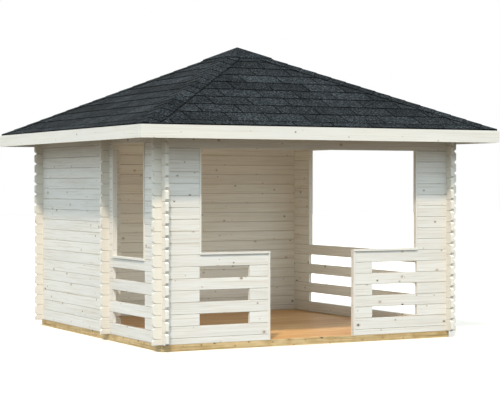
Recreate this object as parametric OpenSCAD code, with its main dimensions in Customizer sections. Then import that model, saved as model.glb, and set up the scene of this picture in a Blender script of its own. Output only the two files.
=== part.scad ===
// Square garden gazebo: log walls with railings and openings, under a hipped shingle roof.
// Millimetres, +Z up. The origin is on the ground, under the middle of the roof.

/* [Room] */
// Width of the room over the outer faces of the logs, along X
room_w = 3300; // [2700:10:4200]
// Depth of the room over the outer faces of the logs, along Y
room_d = 3300; // [2900:10:4200]

/* [Logs] */
// Thickness of the wall logs
log_t = 34; // [28:1:60]
// Height that one log adds to a wall
course_h = 114; // [90:1:140]
// Height of the sawn half log under the front, back and stiffening walls
half_log_h = 59; // [45:1:75]
// Height of the first log under the left and right walls
full_log_h = 120; // [100:1:140]
// Depth of the V groove between two logs
groove = 4; // [2:0.5:6]
// How far the logs run on past the corner
log_end = 92; // [60:1:140]
// Length of the corner cut at each log end
end_cut_l = 27; // [10:1:45]
// Height of the corner cut at each log end
end_cut_h = 22; // [10:1:32]

/* [Openings] */
// Width of the log pier beside each corner
pier_w = 400; // [250:5:600]
// Length of each front railing, from the outer corner of the room to its end board
railing_end = 1170; // [900:5:1250]
// Length of the blocks that hold the front rails apart, with the end board
spacer_w = 225; // [120:5:300]
// Distance from the front corner to the back edge of the window in the left wall
window_back = 1210; // [900:5:1260]
// Distance from the front face to the front face of the stiffening wall
stiffener_y = 1302; // [1280:1:2000]
// Logs from the first seam up to the top of the openings
open_courses = 16; // [14:1:16]
// Logs from the first seam up to the top of the front railings, an odd number
railing_courses = 7; // [5:2:9]

/* [Trim] */
// Thickness of the boards beside the openings
jamb_t = 16; // [12:1:25]
// Thickness of the sills, the railing caps and the railing end boards
cap_t = 20; // [15:1:30]
// How far the boards beside the openings stand proud of the logs
jamb_proud = 8; // [0:1:20]
// How far the sills and caps stand proud of the logs
cap_proud = 14; // [0:1:30]
// How deep the side sills are let into the log under them
sill_seat = 15; // [0:1:30]

/* [Base and floor] */
// Height of the bearers
bearer_h = 65; // [50:1:95]
// Width of the bearers
bearer_w = 45; // [40:1:95]
// Thickness of the floor boards
floor_t = 20; // [16:1:28]
// Number of joists under the floor
joist_count = 6; // [4:1:9]

/* [Roof] */
// Slope of the roof, in degrees
roof_pitch = 24.5; // [18:0.5:28]
// How far the fascia stands out from the outer face of the logs
overhang = 375; // [250:5:500]
// Height of the underside of the fascia above the front openings
eave_rise = 85; // [75:1:150]
// Height of the fascia
fascia_h = 125; // [120:1:160]
// Thickness of the fascia
fascia_t = 18; // [15:1:28]
// Thickness of the roof boards
deck_t = 18; // [15:1:25]
// Thickness of the felt and shingles
shingle_t = 12; // [8:1:16]
// Depth of the rafters, measured plumb
rafter_h = 95; // [70:1:100]
// Width of the rafters
rafter_w = 45; // [38:1:60]
// Distance from the middle rafter of a slope to the one beside it
rafter_pitch = 760; // [400:10:900]
// Distance across the flats of the block that the rafters meet at
apex_block_w = 120; // [110:1:160]
// Width of the shingle strip over each hip
hip_cap_w = 260; // [160:5:320]
// Thickness of the shingle strip over each hip
hip_cap_t = 6; // [4:1:10]
// Side of the square cap over the top of the roof
apex_cap_w = 560; // [460:10:700]
// Thickness of the cap over the top of the roof
apex_cap_t = 12; // [8:1:20]

/* [Hidden] */

// Colours
wood_c = "#EFEBDF";
trim_c = "#F6F1E4";
bearer_c = "#C8AF7D";
floor_c = "#C99A62";
inside_c = "#D8C7A8";
shingle_c = "#34383C";

// A distance past every face of the gazebo, for cutting tools
far = 6000;
over = 1;

// Heights above the bearers
front_open_z = half_log_h + open_courses * course_h;
side_open_z = full_log_h + open_courses * course_h;
railing_z = half_log_h + railing_courses * course_h;
side_rail_z = full_log_h + (railing_courses - 1) * course_h - sill_seat;

// Roof planes: the top of the roof boards meets the inner face of the fascia at deck_z
eave_z = bearer_h + front_open_z + eave_rise;
slope = tan(roof_pitch);
deck_a = room_w / 2 + overhang - fascia_t;
deck_b = room_d / 2 + overhang - fascia_t;
deck_z = eave_z + fascia_h;
deck_v = deck_t / cos(roof_pitch);
shingle_v = shingle_t / cos(roof_pitch);
hip_cap_v = hip_cap_t / cos(roof_pitch);
apex_cap_v = apex_cap_t / cos(roof_pitch);
// Plan distance from the eave to the top of the roof, and half the ridge of an oblong one
rise_run = min(deck_a, deck_b);
ridge_a = deck_a - rise_run;
ridge_b = deck_b - rise_run;
// Height above the bearers at which the roof boards cross the inner face of the walls
wall_top = deck_z + (overhang + log_t) * slope - bearer_h + over;

// The first seam of a wall that lies clear above the roof boards, for a first log of the given height
function log_top(first) = first + ceil((wall_top - first) / course_h) * course_h;

// The seams of a wall between two heights, for a first log of the given height
function seams(first, z0, z1) =
    [for (i = [0:ceil(wall_top / course_h)])
        let (z = first + i * course_h) if (z > z0 + groove && z < z1 - groove) z];

// One face of a stack of logs from z0 to z1, as depth and height
function face_line(marks, z0, z1) = concat(
    [[groove, z0], [0, z0 + groove]],
    [for (s = marks) each [[0, s - groove], [groove, s], [0, s + groove]]],
    [[0, z1 - groove], [groove, z1]]);

// One end of a stack of logs, as the cut away from the end and the height
function end_line(marks, z0, z1, cut, foot) = cut
    ? concat(
        foot ? [[end_cut_l, z0], [0, z0 + end_cut_h]] : [[0, z0]],
        [for (s = marks) each [[0, s - end_cut_h], [end_cut_l, s], [0, s + end_cut_h]]],
        [[0, z1 - end_cut_h], [end_cut_l, z1]])
    : [[0, z0], [0, z1]];

function reversed(list) = [for (i = [len(list) - 1:-1:0]) list[i]];

// Height at which a log of one wall gives way to a log of the crossing wall
function lap_z(k) = (half_log_h + full_log_h) / 2 + (k - 1) * course_h / 2;

// Logs stacked from z0 to z1, running from u0 to u1 along a wall whose outer face is at v = 0
module log_panel(u0, u1, z0, z1, first, cut0 = false, cut1 = false) {
    marks = seams(first, z0, z1);
    face = face_line(marks, z0, z1);
    foot = z0 > 0 || first == full_log_h;
    start = end_line(marks, z0, z1, cut0, foot);
    finish = end_line(marks, z0, z1, cut1, foot);
    intersection() {
        translate([u0, 0, 0]) rotate([90, 0, 90]) linear_extrude(u1 - u0)
            polygon(concat(face, reversed([for (p = face) [log_t - p[0], p[1]]])));
        translate([0, log_t + over, 0]) rotate([90, 0, 0]) linear_extrude(log_t + 2 * over)
            polygon(concat(
                [for (p = start) [u0 + p[0], p[1]]],
                reversed([for (p = finish) [u1 - p[0], p[1]]])));
    }
}

// The halves of a crossing at u that belong to the other wall: phase 0 on walls that start
// with a half log, phase -1 on walls that start with a full one
module lap_cuts(u, phase) {
    for (k = [phase:2:ceil(2 * wall_top / course_h) + 1])
        translate([u, -over, lap_z(k)]) cube([log_t, log_t + 2 * over, course_h / 2]);
}

// One rail: a log with its four long edges chamfered
module rail(u0, u1, z0, z1) {
    log_panel(u0, u1, z0, z1, z1 + course_h);
}

// A wall's own frame: u from the outer corner along the wall, v inwards, z above the bearers
module on_front() { translate([-room_w / 2, -room_d / 2, bearer_h]) children(); }
module on_back() { mirror([0, 1, 0]) on_front() children(); }
module on_right() { translate([room_w / 2, -room_d / 2, bearer_h]) rotate([0, 0, 90]) children(); }
module on_left() { mirror([1, 0, 0]) on_right() children(); }
module front_pair() { children(); mirror([1, 0, 0]) children(); }

// Everything under a roof surface that lies a plumb height h over the top of the roof boards
module under_roof(h) {
    intersection() {
        translate([-far / 2, 0, 0]) rotate([90, 0, 90]) linear_extrude(far) roof_section(deck_b, h);
        translate([0, far / 2, 0]) rotate([90, 0, 0]) linear_extrude(far) roof_section(deck_a, h);
    }
}

module roof_section(half, h) {
    polygon([[-half, 0], [half, 0], [half, deck_z + h], [0, deck_z + h + half * slope], [-half, deck_z + h]]);
}

// Plan of the slope over one eave, drawn back from the hips by inset along the eave
function slope_plan(run, depth, inset) =
    let (m = min(run, depth), r = run - m, d = depth - m)
    concat([[-run + inset, -depth], [run - inset, -depth]],
        r > 0 ? [[r, -d - inset], [-r, -d - inset]] : [[0, -d - inset]]);

// The part of one roof slope between two plumb heights over the top of the roof boards
module slope_layer(run, depth, h0, h1) {
    top = depth * slope;
    intersection() {
        translate([-run, 0, 0]) rotate([90, 0, 90]) linear_extrude(2 * run)
            polygon([
                [-depth, deck_z + h0], [0, deck_z + h0 + top],
                [0, deck_z + h1 + top], [-depth, deck_z + h1]]);
        linear_extrude(far) polygon(slope_plan(run, depth, 0));
    }
}

// The four slopes: front and back run along X, left and right along Y
module face_front() { children(); }
module face_back() { rotate([0, 0, 180]) children(); }
module face_left() { rotate([0, 0, -90]) children(); }
module face_right() { rotate([0, 0, 90]) children(); }

// Side view of a common rafter on the front slope, from the fascia to the apex block
module rafter_side(depth, ridge, h_top) {
    y1 = -ridge - apex_block_w / 2;
    z0 = deck_z - deck_v - rafter_h;
    z1 = z0 + rafter_h + h_top;
    rise = (depth + y1) * slope;
    polygon([[-depth, z0], [y1, z0 + rise], [y1, z1 + rise], [-depth, z1]]);
}

// The rafters of one slope, as wide bars for h_top > 0 when they cut their seats in the walls
module slope_rafters(run, depth, h_top = 0) {
    ridge = depth - min(run, depth);
    intersection() {
        for (x = [-rafter_pitch, 0, rafter_pitch])
            translate([x - rafter_w / 2, 0, 0]) rotate([90, 0, 90]) linear_extrude(rafter_w)
                rafter_side(depth, ridge, h_top);
        linear_extrude(far) polygon(slope_plan(run, depth, rafter_w / sqrt(2)));
    }
}

// One hip rafter, lying along the hip in the quarter at the given angle
module hip_bar(angle, h_top = 0) {
    s0 = apex_block_w / 2;
    s1 = rise_run * sqrt(2);
    z_apex = deck_z - deck_v - rafter_h + rise_run * slope;
    fall = slope / sqrt(2);
    sx = angle < 90 || angle > 270 ? 1 : -1;
    sy = angle < 180 ? 1 : -1;
    translate([sx * ridge_a, sy * ridge_b, 0]) rotate([0, 0, angle])
        translate([0, rafter_w / 2, 0]) rotate([90, 0, 0]) linear_extrude(rafter_w)
            polygon([[s0, z_apex - s0 * fall], [s1, z_apex - s1 * fall],
                [s1, z_apex + rafter_h + h_top - s1 * fall], [s0, z_apex + rafter_h + h_top - s0 * fall]]);
}

hip_angles = [45, 135, 225, 315];

// Logs cut to the underside of the roof boards, with a seat for each rafter
module to_the_roof() {
    difference() {
        intersection() {
            children();
            under_roof(-deck_v);
        }
        slope_rafters(deck_a, deck_b, far);
        rotate([0, 0, 180]) slope_rafters(deck_a, deck_b, far);
        rotate([0, 0, 90]) slope_rafters(deck_b, deck_a, far);
        rotate([0, 0, -90]) slope_rafters(deck_b, deck_a, far);
        for (a = hip_angles) hip_bar(a, far);
    }
}

// ---- Base and floor ----

module front_and_back_bearers() {
    color(bearer_c) for (y = [-room_d / 2, room_d / 2 - bearer_w])
        translate([-room_w / 2, y, 0]) cube([room_w, bearer_w, bearer_h]);
}

module side_bearers() {
    color(bearer_c) for (x = [-room_w / 2, room_w / 2 - bearer_w])
        translate([x, bearer_w - room_d / 2, 0]) cube([bearer_w, room_d - 2 * bearer_w, bearer_h]);
}

module floor_joists() {
    clear_w = room_w - 2 * bearer_w;
    step = clear_w / (joist_count + 1);
    color(bearer_c) for (i = [1:joist_count])
        translate([-clear_w / 2 + i * step - bearer_w / 2, bearer_w - room_d / 2, 0])
            cube([bearer_w, room_d - 2 * bearer_w, bearer_h - floor_t]);
}

module floor() {
    color(floor_c) translate([bearer_w - room_w / 2, bearer_w - room_d / 2, bearer_h - floor_t])
        cube([room_w - 2 * bearer_w, room_d - 2 * bearer_w, floor_t]);
}

// ---- Front wall ----

module front_bottom_logs() {
    color(wood_c) front_pair() on_front() difference() {
        log_panel(-log_end, railing_end - cap_t, 0, half_log_h, half_log_h + course_h, cut0 = true);
        lap_cuts(0, 0);
    }
}

module front_pier() {
    on_front() difference() {
        log_panel(-log_end, pier_w, half_log_h, front_open_z, half_log_h, cut0 = true);
        lap_cuts(0, 0);
    }
}

module front_left_pier() { color(wood_c) front_pier(); }
module front_right_pier() { color(wood_c) mirror([1, 0, 0]) front_pier(); }

module front_rails() {
    color(wood_c) front_pair() on_front() for (i = [0:2:railing_courses - 1])
        rail(pier_w, railing_end - cap_t, half_log_h + i * course_h, half_log_h + (i + 1) * course_h);
}

module front_spacers() {
    color(wood_c) front_pair() on_front() for (i = [1:2:railing_courses - 1])
        rail(railing_end - spacer_w, railing_end - cap_t,
            half_log_h + i * course_h, half_log_h + (i + 1) * course_h);
}

module front_top_logs() {
    color(wood_c) to_the_roof() on_front() difference() {
        log_panel(-log_end, room_w + log_end, front_open_z, log_top(half_log_h), half_log_h,
            cut0 = true, cut1 = true);
        lap_cuts(0, 0);
        lap_cuts(room_w - log_t, 0);
    }
}

// ---- Back wall and stiffening wall ----

module back_wall() {
    color(wood_c) to_the_roof() on_back() difference() {
        log_panel(-log_end, room_w + log_end, 0, log_top(half_log_h), half_log_h, cut0 = true, cut1 = true);
        lap_cuts(0, 0);
        lap_cuts(room_w - log_t, 0);
    }
}

module stiffener_wall() {
    color(wood_c) to_the_roof() on_front() translate([0, stiffener_y, 0]) difference() {
        log_panel(-log_end, log_t + log_end, 0, log_top(half_log_h), half_log_h, cut0 = true, cut1 = true);
        lap_cuts(0, 0);
    }
}

// ---- Side walls ----

// The log piers beside a side opening, under the logs that run over it
module side_front_pier() {
    difference() {
        log_panel(-log_end, pier_w, 0, side_open_z, full_log_h, cut0 = true);
        lap_cuts(0, -1);
    }
}

module side_rear_pier(from) {
    difference() {
        log_panel(from, room_d + log_end, 0, side_open_z, full_log_h, cut1 = true);
        lap_cuts(room_d - log_t, -1);
    }
}

// Rails of a side railing, with the top one planed down for its sill
module side_rails(to) {
    rail(pier_w, to, 0, full_log_h);
    for (i = [1:2:railing_courses - 2])
        rail(pier_w, to, full_log_h + i * course_h,
            min(full_log_h + (i + 1) * course_h, side_rail_z));
}

module side_top_logs() {
    difference() {
        log_panel(-log_end, room_d + log_end, side_open_z, log_top(full_log_h), full_log_h,
            cut0 = true, cut1 = true);
        lap_cuts(0, -1);
        lap_cuts(room_d - log_t, -1);
    }
}

module left_rear_wall() {
    color(wood_c) on_left() difference() {
        side_rear_pier(window_back);
        lap_cuts(stiffener_y, -1);
    }
}

module left_front_pier() { color(wood_c) on_left() side_front_pier(); }
module left_rails() { color(wood_c) on_left() side_rails(window_back); }

module left_top_logs() {
    color(wood_c) to_the_roof() on_left() difference() {
        side_top_logs();
        lap_cuts(stiffener_y, -1);
    }
}

module right_rear_pier() { color(wood_c) on_right() side_rear_pier(room_d - pier_w); }
module right_front_pier() { color(wood_c) on_right() side_front_pier(); }
module right_rails() { color(wood_c) on_right() side_rails(room_d - pier_w); }
module right_top_logs() { color(wood_c) to_the_roof() on_right() side_top_logs(); }

// ---- Boards round the openings ----

// A board across the wall's thickness, from u0 to u1 and z0 to z1, proud of both faces
module cross_board(u0, u1, z0, z1, proud) {
    translate([u0, -proud, z0]) cube([u1 - u0, log_t + 2 * proud, z1 - z0]);
}

module railing_end_boards() {
    color(trim_c) front_pair() on_front()
        cross_board(railing_end - cap_t, railing_end, 0, railing_z, jamb_proud);
}

module railing_caps() {
    color(trim_c) front_pair() on_front()
        cross_board(pier_w, railing_end, railing_z, railing_z + cap_t, cap_proud);
}

module front_jambs() {
    color(trim_c) front_pair() on_front()
        cross_board(pier_w, pier_w + jamb_t, railing_z + cap_t, front_open_z, jamb_proud);
}

module jamb_pair(to) {
    for (u = [pier_w, to - jamb_t])
        cross_board(u, u + jamb_t, side_rail_z + cap_t, side_open_z, jamb_proud);
}

module side_jambs() {
    color(trim_c) {
        on_left() jamb_pair(window_back);
        on_right() jamb_pair(room_d - pier_w);
    }
}

module side_sills() {
    color(trim_c) {
        on_left() cross_board(pier_w, window_back, side_rail_z, side_rail_z + cap_t, cap_proud);
        on_right() cross_board(pier_w, room_d - pier_w, side_rail_z, side_rail_z + cap_t, cap_proud);
    }
}

// ---- Roof frame ----

module hip_rafters() {
    color(inside_c) intersection() {
        for (a = hip_angles) hip_bar(a);
        under_roof(-deck_v);
    }
}

module rafters_front() { color(inside_c) face_front() slope_rafters(deck_a, deck_b); }
module rafters_back() { color(inside_c) face_back() slope_rafters(deck_a, deck_b); }
module rafters_left() { color(inside_c) face_left() slope_rafters(deck_b, deck_a); }
module rafters_right() { color(inside_c) face_right() slope_rafters(deck_b, deck_a); }

// Eight-sided block under the top of the roof, drawn out into a ridge beam on an oblong room
module apex_block() {
    z0 = deck_z - deck_v - rafter_h + (rise_run - apex_block_w / 2) * slope - over;
    corner_r = apex_block_w / 2 / cos(22.5);
    color(inside_c) intersection() {
        translate([0, 0, z0]) linear_extrude(far)
            polygon([for (a = [22.5:45:337.5])
                [corner_r * cos(a) + sign(cos(a)) * ridge_a, corner_r * sin(a) + sign(sin(a)) * ridge_b]]);
        under_roof(-deck_v);
    }
}

// ---- Roof covering ----

module roof_boards_front() { color(inside_c) face_front() slope_layer(deck_a, deck_b, -deck_v, 0); }
module roof_boards_back() { color(inside_c) face_back() slope_layer(deck_a, deck_b, -deck_v, 0); }
module roof_boards_left() { color(inside_c) face_left() slope_layer(deck_b, deck_a, -deck_v, 0); }
module roof_boards_right() { color(inside_c) face_right() slope_layer(deck_b, deck_a, -deck_v, 0); }

// A fascia board with mitred ends, on the front of a roof of the given half sizes
module fascia(run, depth) {
    out = fascia_t;
    color(wood_c) translate([0, 0, eave_z]) linear_extrude(fascia_h)
        polygon([[-run - out, -depth - out], [run + out, -depth - out], [run, -depth], [-run, -depth]]);
}

module fascia_front() { face_front() fascia(deck_a, deck_b); }
module fascia_back() { face_back() fascia(deck_a, deck_b); }
module fascia_left() { face_left() fascia(deck_b, deck_a); }
module fascia_right() { face_right() fascia(deck_b, deck_a); }

module shingles_front() { color(shingle_c) face_front() slope_layer(deck_a, deck_b, 0, shingle_v); }
module shingles_back() { color(shingle_c) face_back() slope_layer(deck_a, deck_b, 0, shingle_v); }
module shingles_left() { color(shingle_c) face_left() slope_layer(deck_b, deck_a, 0, shingle_v); }
module shingles_right() { color(shingle_c) face_right() slope_layer(deck_b, deck_a, 0, shingle_v); }

// A thin layer of plumb height h over the shingles
module cap_layer(h) {
    difference() {
        under_roof(shingle_v + h);
        under_roof(shingle_v);
    }
}

module apex_cap_plan() {
    translate([-ridge_a - apex_cap_w / 2, -ridge_b - apex_cap_w / 2, 0])
        cube([2 * ridge_a + apex_cap_w, 2 * ridge_b + apex_cap_w, far]);
}

module hip_caps() {
    color(shingle_c) difference() {
        intersection() {
            cap_layer(hip_cap_v);
            for (a = hip_angles) {
                sx = a < 90 || a > 270 ? 1 : -1;
                sy = a < 180 ? 1 : -1;
                translate([sx * ridge_a, sy * ridge_b, 0]) rotate([0, 0, a])
                    translate([0, -hip_cap_w / 2, 0]) cube([far, hip_cap_w, far]);
            }
        }
        apex_cap_plan();
    }
}

module apex_cap() {
    color(shingle_c) intersection() {
        cap_layer(apex_cap_v);
        apex_cap_plan();
    }
}

front_and_back_bearers();
side_bearers();
floor_joists();
floor();
front_bottom_logs();
front_left_pier();
front_right_pier();
front_rails();
front_spacers();
front_top_logs();
back_wall();
left_rear_wall();
left_front_pier();
left_rails();
left_top_logs();
stiffener_wall();
right_rear_pier();
right_front_pier();
right_rails();
right_top_logs();
railing_end_boards();
railing_caps();
front_jambs();
side_jambs();
side_sills();
hip_rafters();
rafters_front();
rafters_back();
rafters_left();
rafters_right();
apex_block();
roof_boards_front();
roof_boards_back();
roof_boards_left();
roof_boards_right();
fascia_front();
fascia_back();
fascia_left();
fascia_right();
shingles_front();
shingles_back();
shingles_left();
shingles_right();
hip_caps();
apex_cap();
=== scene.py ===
"""Finishes a square log-built garden gazebo: stained logs, boards, shingles and screws, on a stage."""

import math

import bmesh
import bpy
from bpy.types import Operator, Panel, PropertyGroup
from mathutils import Matrix, Vector


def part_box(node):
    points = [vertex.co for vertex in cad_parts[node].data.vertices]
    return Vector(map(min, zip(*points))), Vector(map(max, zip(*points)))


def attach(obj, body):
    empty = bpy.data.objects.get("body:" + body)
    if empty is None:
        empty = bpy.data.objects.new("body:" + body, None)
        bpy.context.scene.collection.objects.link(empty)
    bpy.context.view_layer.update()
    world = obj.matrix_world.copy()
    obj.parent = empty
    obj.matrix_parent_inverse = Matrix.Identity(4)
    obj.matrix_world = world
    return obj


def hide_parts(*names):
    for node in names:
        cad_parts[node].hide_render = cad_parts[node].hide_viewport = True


bl_info = {
    "name": "Garden gazebo finish",
    "version": (1, 0, 0),
    "blender": (4, 5, 0),
    "location": "3D View > Sidebar > Gazebo",
    "description": "Boards, shingles, screws and stained timber for a log-built garden gazebo",
    "category": "Object",
}

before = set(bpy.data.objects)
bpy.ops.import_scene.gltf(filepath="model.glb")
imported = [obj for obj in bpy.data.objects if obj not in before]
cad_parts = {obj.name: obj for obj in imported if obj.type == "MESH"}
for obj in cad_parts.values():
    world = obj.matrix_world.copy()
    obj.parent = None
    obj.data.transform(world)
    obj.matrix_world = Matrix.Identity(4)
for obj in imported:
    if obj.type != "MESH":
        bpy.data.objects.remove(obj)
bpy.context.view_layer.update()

# In the order in which quarter turns about Z take the front slope round
SIDES = ("front", "right", "back", "left")
MATH = "ShaderNodeMath"
VECTOR_MATH = "ShaderNodeVectorMath"
MAP_RANGE = "ShaderNodeMapRange"
NOISE = "ShaderNodeTexNoise"
SPLIT = "ShaderNodeSeparateXYZ"
MIX = "ShaderNodeMix"


# ---- Measures taken from the frame, in metres ----

def seam_pattern():
    """Height of one log, and the height of a seam in the front and back walls and in the side walls."""
    rails_low, rails_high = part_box("front_rails")
    railing_logs = 7
    course = (rails_high.z - rails_low.z) / railing_logs
    front_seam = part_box("front_left_pier")[0].z
    side_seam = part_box("left_front_pier")[1].z
    return course, front_seam, side_seam


def roof_plane():
    """Half sides of the boarded roof, its eave height, its rise per metre and its layers' plumb depths."""
    boards_low, boards_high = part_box("roof_boards_front")
    shingles_low, shingles_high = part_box("shingles_front")
    half_x, half_y, eave_z = shingles_high.x, -shingles_low.y, shingles_low.z
    rise = (boards_high.z - eave_z) / min(half_x, half_y)
    return half_x, half_y, eave_z, rise, eave_z - boards_low.z, shingles_high.z - boards_high.z


LOG_COURSE, FRONT_SEAM, SIDE_SEAM = seam_pattern()
HALF_X, HALF_Y, EAVE_Z, SLOPE, BOARDS_DEPTH, SHINGLES_DEPTH = roof_plane()
# Plan length of a metre up the slope
LEAN = math.cos(math.atan(SLOPE))
WALL_X, WALL_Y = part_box("front_and_back_bearers")[1][:2]
# Boards round the openings, and how far the jambs stand proud of the logs
JAMB_THICKNESS = 0.016
RAILING_BOARD_THICKNESS = 0.020
JAMB_PROUD = 0.008


def linear(hex_colour):
    """The linear RGB of an sRGB hex colour."""
    channels = [int(hex_colour[i:i + 2], 16) / 255 for i in (1, 3, 5)]
    return tuple(c / 12.92 if c <= 0.04045 else ((c + 0.055) / 1.055) ** 2.4 for c in channels)


def swatch(name, description, hex_colour):
    """A colour setting, given as sRGB hex."""
    return bpy.props.FloatVectorProperty(
        name=name, description=description, subtype="COLOR", size=3, min=0, max=1,
        default=linear(hex_colour))


def length(name, description, metres):
    """A length setting, given in metres."""
    return bpy.props.FloatProperty(
        name=name, description=description, default=metres, min=0, unit="LENGTH", subtype="DISTANCE")


class GazeboSizes(PropertyGroup):
    """Sizes of the boards, shingles and screws."""

    floor_board: length("Floor board", "Face width of a floor board", 0.0973)
    floor_gap: length("Floor gap", "Open joint between two floor boards", 0.003)
    roof_board: length("Roof board", "Face width of a tongued and grooved roof board", 0.096)
    joint: length("Board joint", "Gap between two roof boards", 0.0006)
    chamfer: length("Board chamfer", "Chamfer along the edges of floor and roof boards", 0.003)
    felt: length("Felt", "Thickness of the underlay and drip edge under the shingles", 0.006)
    tab_width: length("Tab width", "Distance from one shingle slot to the next", 0.434)
    tab_slot: length("Tab slot", "Width of the slot between two shingle tabs", 0.009)
    tab_exposure: length("Tab exposure", "Length of a tab that shows, along the slope", 0.213)
    tab_first: length("First course", "Length of the lowest shingle course that shows", 0.099)
    tab_thickness: length("Tab thickness", "Thickness of a shingle at its lower edge", 0.006)
    hip_width: length("Hip shingle width", "Width of the shingles folded over a hip, in plan", 0.266)
    hip_exposure: length("Hip exposure", "Length of a hip shingle that shows, along the hip", 0.170)
    screw_head: length("Screw head", "Diameter of a screw head", 0.009)


class GazeboColours(PropertyGroup):
    """Colours of the timber, the roof covering and the stage."""

    stain: swatch("Stain", "Pale stain on the logs", "#EDEAE3")
    stain_shade: swatch("Stain in the grain", "Stain where the grain drinks it in", "#DEDBD4")
    trim: swatch("Board stain", "Pale stain on the fascia and trim boards", "#E8E4DA")
    log_end: swatch("Log ends", "Stain on the log ends past the corners", "#E7E1D4")
    streak: swatch("Grain streak", "Darker latewood that shows through the stain", "#BFAA8A")
    # Seam colour: dust and resin, made darker as painted shade in the grooves between the logs
    seam: swatch("Seam", "Dust and resin in the grooves between the logs", "#8D836E")
    knot: swatch("Knot", "Live knot", "#9A7A52")
    dead_knot: swatch("Dead knot", "Dark dead knot", "#382E25")
    bearer: swatch("Bearer", "Treated bearer timber", "#E9CF9E")
    bearer_shade: swatch("Bearer shade", "Darker patches of the bearer timber", "#BC9862")
    bearer_grain: swatch("Bearer grain", "Greenish brown latewood lines of the bearers", "#857345")
    floor: swatch("Floor", "Oiled floor boards", "#F7CD90")
    floor_shade: swatch("Floor shade", "Darker patches of the floor boards", "#D8A264")
    floor_grain: swatch("Floor grain", "Latewood lines of the floor", "#9A6630")
    # Floor joint colour: dirt, made darker as painted shade in the open gaps between the boards
    floor_joint: swatch("Floor joint", "Dirt in the joints of the floor", "#5A3A1C")
    bare: swatch("Bare timber", "Unfinished rafters and roof boards", "#E0CDAC")
    bare_shade: swatch("Bare timber grain", "Grain of the rafters and roof boards", "#BE9F73")
    shingle: swatch("Shingle", "Charcoal mineral granules", "#14171A")
    shingle_light: swatch("Shingle granule", "Lighter granules", "#53575B")
    shingle_green: swatch("Shingle tint", "Greenish granules of some tabs", "#171D1C")
    # Felt colour: near-black bitumen; on the shingle edges it also paints the shade of the slots, butts and
    # hip laps
    felt: swatch("Felt", "Cut edge of the bitumen felt", "#08090A")
    zinc: swatch("Zinc", "Zinc-plated screw heads", "#9B9C9A")
    ground: swatch("Ground", "Pale floor that the gazebo stands on", "#FCEEDF")


# ---- Nodes ----

def add(tree, kind, inputs=None, **settings):
    """Adds a node with its settings and links.

    A value may be a number, a socket, or a node, which stands for its first output in use.
    """
    node = tree.nodes.new(kind)
    for name, value in settings.items():
        setattr(node, name, value)
    wire(tree, node, inputs or {})
    return node


def wire(tree, node, inputs):
    """Sets or links the inputs of a node."""
    for key, value in inputs.items():
        socket = node.inputs[key] if isinstance(key, int) else live(node.inputs, key)
        if isinstance(value, bpy.types.Node):
            value = live(value.outputs)
        if isinstance(value, bpy.types.NodeSocket):
            tree.links.new(value, socket)
        else:
            socket.default_value = value


def live(sockets, name=None):
    """The first socket in use, or the first in use with that name."""
    return next(s for s in sockets if s.enabled and name in (None, s.name))


def colour4(colour):
    """A colour with full alpha, as a colour socket wants it."""
    return (*colour[:3], 1.0)


# ---- Materials ----

def new_material(name):
    """A material with its tree and its shader."""
    material = bpy.data.materials.new(name)
    material.use_nodes = True
    return material, material.node_tree, material.node_tree.nodes["Principled BSDF"]


def courses_up(tree, axes, seam, course):
    """How many courses of logs or boards a place lies above the seam."""
    height = add(tree, MATH, {0: axes[1], 1: seam}, operation="SUBTRACT")
    return add(tree, MATH, {0: height, 1: course}, operation="DIVIDE")


def timber_place(tree, along, seam, course):
    """The place in the timber in metres, its axes along, across and into the grain, and the board's number.

    The number moves the place, so that no two neighbours are cut from the same part of the tree.
    """
    if along == "board":
        place = add(tree, "ShaderNodeAttribute", attribute_name="piece_co")
        axes = add(tree, SPLIT, {0: place.outputs["Vector"]}).outputs
        tone = add(tree, "ShaderNodeAttribute", attribute_name="tone")
        number = add(tree, MATH, {0: tone.outputs["Fac"], 1: 100.0}, operation="MULTIPLY")
    else:
        place = add(tree, "ShaderNodeTexCoord")
        split = add(tree, SPLIT, {0: place.outputs["Object"]}).outputs
        axes = [split[i] for i in {"X": (0, 2, 1), "Y": (1, 2, 0), "Z": (2, 0, 1)}[along]]
        number = add(tree, MATH, {0: courses_up(tree, axes, seam, course)}, operation="FLOOR")
    apart_along, apart_into = 3.37, 1.93
    u = add(tree, MATH, {0: number, 1: apart_along, 2: axes[0]}, operation="MULTIPLY_ADD")
    w = add(tree, MATH, {0: number, 1: apart_into, 2: axes[2]}, operation="MULTIPLY_ADD")
    return add(tree, "ShaderNodeCombineXYZ", {0: u, 1: axes[1], 2: w}), axes, number


def board_tone(tree, place, number, light, shade, spread, patches):
    """Each board a little lighter or darker, with slow patches along it, that many to a metre."""
    stretched = add(tree, VECTOR_MATH, {0: place, 1: (patches, 9.0, 9.0)}, operation="MULTIPLY")
    broad = add(tree, NOISE, {"Vector": stretched, "Scale": 1.0, "Detail": 2.0})
    own = add(tree, "ShaderNodeTexWhiteNoise", {"W": number}, noise_dimensions="1D")
    slow = add(tree, MAP_RANGE, {"Value": broad, "From Min": 0.35, "From Max": 0.7, "To Max": 0.6})
    share = add(tree, MATH, {0: own.outputs["Value"], 1: spread, 2: slow},
                operation="MULTIPLY_ADD", use_clamp=True)
    return add(tree, MIX, {"Factor": share, "A": colour4(light), "B": colour4(shade)}, data_type="RGBA")


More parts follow.
